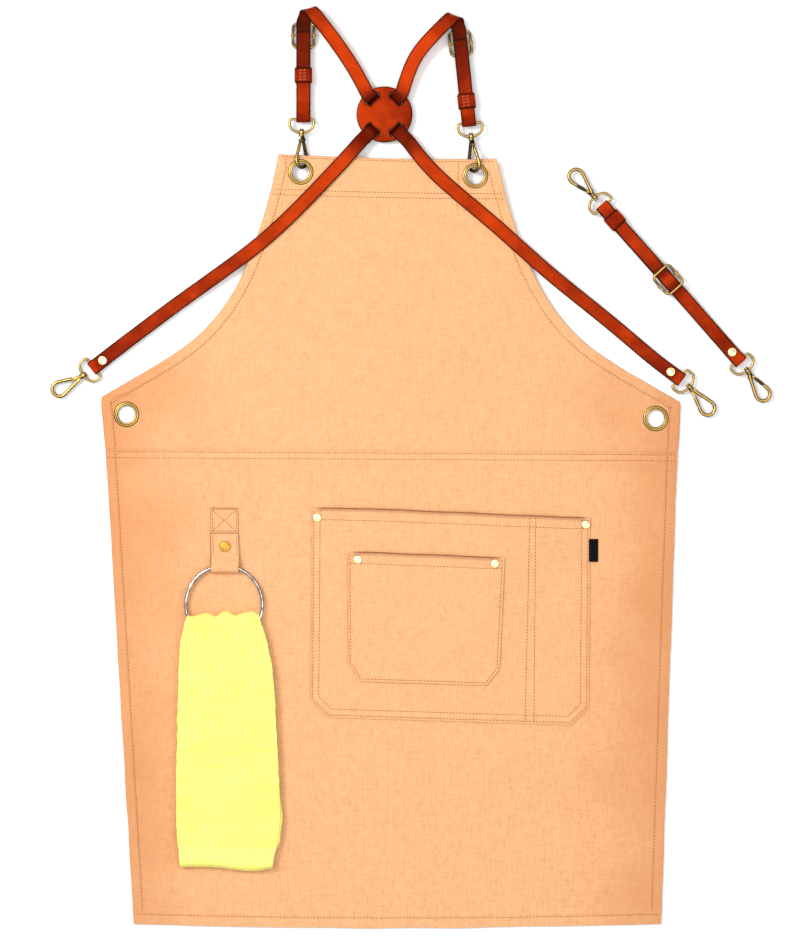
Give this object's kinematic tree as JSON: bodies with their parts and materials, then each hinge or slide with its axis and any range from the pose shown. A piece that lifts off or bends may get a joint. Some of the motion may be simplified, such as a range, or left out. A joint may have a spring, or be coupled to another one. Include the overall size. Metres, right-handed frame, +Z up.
{
  "type": "butcher apron",
  "caption": "Apron laid flat: cloth skirt and bib with pockets, a towel hung from a ring, a crossed leather harness with swivel hooks and adjusters, and a loose extension strap.",
  "frame": {"origin": "underside of the skirt on the apron's centre line, about the middle of the cloth, where it rests on the table", "axes": "+X across the apron towards the tool side of the large pocket, +Y from the hem towards the bib, +Z up off the table, out of the cloth's front"},
  "size_m": [0.8488, 1.0828, 0.0199],
  "materials": {
    "canvas": "matte woven",
    "label_tape": "matte woven",
    "terry": "looped pile",
    "leather": "waxed, semi-gloss",
    "antique_brass": "antiqued, polished on the high parts",
    "bright_brass": "polished",
    "chrome_ring": "polished"
  },
  "bodies": {
    "apron": {"skirt_panel": "canvas", "bib_panel": "canvas", "bib_facing": "canvas", "left_bib_eyelet": "antique_brass", "right_bib_eyelet": "antique_brass", "left_waist_eyelet": "antique_brass", "right_waist_eyelet": "antique_brass", "left_bib_washer": "antique_brass", "right_bib_washer": "antique_brass", "left_waist_washer": "antique_brass", "right_waist_washer": "antique_brass", "large_pocket": "canvas", "small_pocket": "canvas", "side_label": "label_tape", "large_pocket_rivet_left": "bright_brass", "large_pocket_rivet_right": "bright_brass", "small_pocket_rivet_left": "bright_brass", "small_pocket_rivet_right": "bright_brass", "towel_tab": "canvas", "towel_tab_rivet": "bright_brass"},
    "towel_on_ring": {"towel_ring": "chrome_ring", "towel": "terry"},
    "harness": {"cross_disc": "leather", "left_shoulder_strap": "leather", "right_shoulder_strap": "leather", "left_bib_d_ring": "antique_brass", "right_bib_d_ring": "antique_brass"},
    "left_bib_snap_hook": {"left_bib_hook": "antique_brass"},
    "left_bib_snap_gate": {"left_bib_gate": "antique_brass"},
    "left_slider": {"left_slider_frame": "antique_brass", "left_slider_bar": "antique_brass"},
    "left_keeper_loop": {"left_keeper": "leather"},
    "right_bib_snap_hook": {"right_bib_hook": "antique_brass"},
    "right_bib_snap_gate": {"right_bib_gate": "antique_brass"},
    "right_slider": {"right_slider_frame": "antique_brass", "right_slider_bar": "antique_brass"},
    "right_keeper_loop": {"right_keeper": "leather"},
    "left_back": {"left_back_strap": "leather", "left_strap_rivet": "bright_brass"},
    "left_waist_dee": {"left_waist_d_ring": "antique_brass"},
    "left_waist_snap_hook": {"left_waist_hook": "antique_brass"},
    "left_waist_snap_gate": {"left_waist_gate": "antique_brass"},
    "right_back": {"right_back_strap": "leather", "right_strap_rivet": "bright_brass"},
    "right_waist_dee": {"right_waist_d_ring": "antique_brass"},
    "right_waist_snap_hook": {"right_waist_hook": "antique_brass"},
    "right_waist_snap_gate": {"right_waist_gate": "antique_brass"},
    "extension": {"extension_strap": "leather", "extension_rivet": "bright_brass"},
    "extension_slider": {"extension_slider_frame": "antique_brass", "extension_slider_bar": "antique_brass"},
    "extension_keeper_loop": {"extension_keeper": "leather"},
    "extension_upper_dee": {"extension_upper_d_ring": "antique_brass"},
    "extension_upper_snap_hook": {"extension_upper_hook": "antique_brass"},
    "extension_upper_snap_gate": {"extension_upper_gate": "antique_brass"},
    "extension_lower_dee": {"extension_lower_d_ring": "antique_brass"},
    "extension_lower_snap_hook": {"extension_lower_hook": "antique_brass"},
    "extension_lower_snap_gate": {"extension_lower_gate": "antique_brass"}
  },
  "joints": [
    {"name": "towel_ring_swing", "type": "hinge", "parent": "apron", "child": "towel_on_ring", "pos_m": [-0.1965, -0.0303, 0.0062], "axis": [-1, 0, 0], "range_deg": [0, 60]},
    {"name": "harness_lift", "type": "hinge", "parent": "apron", "child": "harness", "pos_m": [-0.00424, 0.44695, 0.00825], "axis": [0.9998, -0.0223, 0], "range_deg": [0, 60]},
    {"name": "left_bib_hook_swivel", "type": "hinge", "parent": "harness", "child": "left_bib_snap_hook", "pos_m": [-0.1054, 0.4816, 0.00825], "axis": [0, 1, 0], "range_deg": [0, 27]},
    {"name": "left_bib_gate_hinge", "type": "hinge", "parent": "left_bib_snap_hook", "child": "left_bib_snap_gate", "pos_m": [-0.1066, 0.472, 0.00945], "axis": [0.7071, 0, 0.7071], "range_deg": [0, 18], "stiffness_Nm_per_rad": 0.02},
    {"name": "left_slider_adjust", "type": "slide", "parent": "harness", "child": "left_slider", "axis": [0, 1, 0], "range_m": [-0.012, 0.004]},
    {"name": "left_keeper_slide", "type": "slide", "parent": "harness", "child": "left_keeper_loop", "axis": [0, 1, 0], "range_m": [-0.025, 0.008]},
    {"name": "right_bib_hook_swivel", "type": "hinge", "parent": "harness", "child": "right_bib_snap_hook", "pos_m": [0.09352, 0.47691, 0.00825], "axis": [0.1045, -0.9945, 0], "range_deg": [0, 27]},
    {"name": "right_bib_gate_hinge", "type": "hinge", "parent": "right_bib_snap_hook", "child": "right_bib_snap_gate", "pos_m": [0.09572, 0.46749, 0.00945], "axis": [0.7032, 0.0739, -0.7071], "range_deg": [0, 18], "stiffness_Nm_per_rad": 0.02},
    {"name": "right_slider_adjust", "type": "slide", "parent": "harness", "child": "right_slider", "axis": [-0.1045, 0.9945, 0], "range_m": [-0.012, 0.004]},
    {"name": "right_keeper_slide", "type": "slide", "parent": "harness", "child": "right_keeper_loop", "axis": [-0.1045, 0.9945, 0], "range_m": [-0.006, 0.03]},
    {"name": "left_back_strap_fold", "type": "hinge", "parent": "harness", "child": "left_back", "pos_m": [-0.02715, 0.47965, 0.0105], "axis": [-0.7071, 0.7071, 0], "range_deg": [0, 51]},
    {"name": "left_waist_d_ring_swing", "type": "hinge", "parent": "left_back", "child": "left_waist_dee", "pos_m": [-0.34977, 0.20613, 0.004], "axis": [-0.6129, 0.7902, 0], "range_deg": [-60, 90]},
    {"name": "left_waist_hook_swivel", "type": "hinge", "parent": "left_waist_dee", "child": "left_waist_snap_hook", "pos_m": [-0.36202, 0.19663, 0.004], "axis": [-0.7902, -0.6129, 0], "continuous": true},
    {"name": "left_waist_gate_hinge", "type": "hinge", "parent": "left_waist_snap_hook", "child": "left_waist_snap_gate", "pos_m": [-0.37065, 0.19209, 0.004], "axis": [0, 0, 1], "range_deg": [0, 18], "stiffness_Nm_per_rad": 0.02},
    {"name": "right_back_strap_fold", "type": "hinge", "parent": "harness", "child": "right_back", "pos_m": [0.01075, 0.47965, 0.0105], "axis": [-0.7071, -0.7071, 0], "range_deg": [0, 51]},
    {"name": "right_waist_d_ring_swing", "type": "hinge", "parent": "right_back", "child": "right_waist_dee", "pos_m": [0.33845, 0.19297, 0.004], "axis": [-0.5948, -0.8039, 0], "range_deg": [-60, 90]},
    {"name": "right_waist_hook_swivel", "type": "hinge", "parent": "right_waist_dee", "child": "right_waist_snap_hook", "pos_m": [0.35091, 0.18375, 0.004], "axis": [0.8039, -0.5948, 0], "continuous": true},
    {"name": "right_waist_gate_hinge", "type": "hinge", "parent": "right_waist_snap_hook", "child": "right_waist_snap_gate", "pos_m": [0.35762, 0.17667, 0.004], "axis": [0, 0, 1], "range_deg": [0, 18], "stiffness_Nm_per_rad": 0.02},
    {"name": "extension_lift", "type": "slide", "parent": "apron", "child": "extension", "axis": [0, 0, 1], "range_m": [0, 0.15]},
    {"name": "extension_slider_adjust", "type": "slide", "parent": "extension", "child": "extension_slider", "axis": [0.6639, -0.7478, 0], "range_m": [-0.012, 0.012]},
    {"name": "extension_keeper_slide", "type": "slide", "parent": "extension", "child": "extension_keeper_loop", "axis": [0.6639, -0.7478, 0], "range_m": [-0.005, 0.052]},
    {"name": "extension_upper_d_ring_swing", "type": "hinge", "parent": "extension", "child": "extension_upper_dee", "pos_m": [0.2487, 0.3943, 0.0059], "axis": [0.7478, 0.6639, 0], "range_deg": [-60, 90]},
    {"name": "extension_upper_hook_swivel", "type": "hinge", "parent": "extension_upper_dee", "child": "extension_upper_snap_hook", "pos_m": [0.23841, 0.40589, 0.0059], "axis": [-0.6639, 0.7478, 0], "continuous": true},
    {"name": "extension_upper_gate_hinge", "type": "hinge", "parent": "extension_upper_snap_hook", "child": "extension_upper_snap_gate", "pos_m": [0.23076, 0.41194, 0.0059], "axis": [0, 0, -1], "range_deg": [0, 18], "stiffness_Nm_per_rad": 0.02},
    {"name": "extension_lower_d_ring_swing", "type": "hinge", "parent": "extension", "child": "extension_lower_dee", "pos_m": [0.40864, 0.21416, 0.004], "axis": [-0.7478, -0.6639, 0], "range_deg": [-60, 90]},
    {"name": "extension_lower_hook_swivel", "type": "hinge", "parent": "extension_lower_dee", "child": "extension_lower_snap_hook", "pos_m": [0.41893, 0.20256, 0.004], "axis": [0.6639, -0.7478, 0], "continuous": true},
    {"name": "extension_lower_gate_hinge", "type": "hinge", "parent": "extension_lower_snap_hook", "child": "extension_lower_snap_gate", "pos_m": [0.42657, 0.19651, 0.004], "axis": [0, 0, -1], "range_deg": [0, 18], "stiffness_Nm_per_rad": 0.02}
  ],
  "couplings": [
    {"joint": "left_bib_hook_swivel", "follows": "harness_lift", "ratio": 0.45},
    {"joint": "right_bib_hook_swivel", "follows": "harness_lift", "ratio": 0.45},
    {"joint": "left_back_strap_fold", "follows": "harness_lift", "ratio": 0.85},
    {"joint": "right_back_strap_fold", "follows": "harness_lift", "ratio": 0.85}
  ]
}
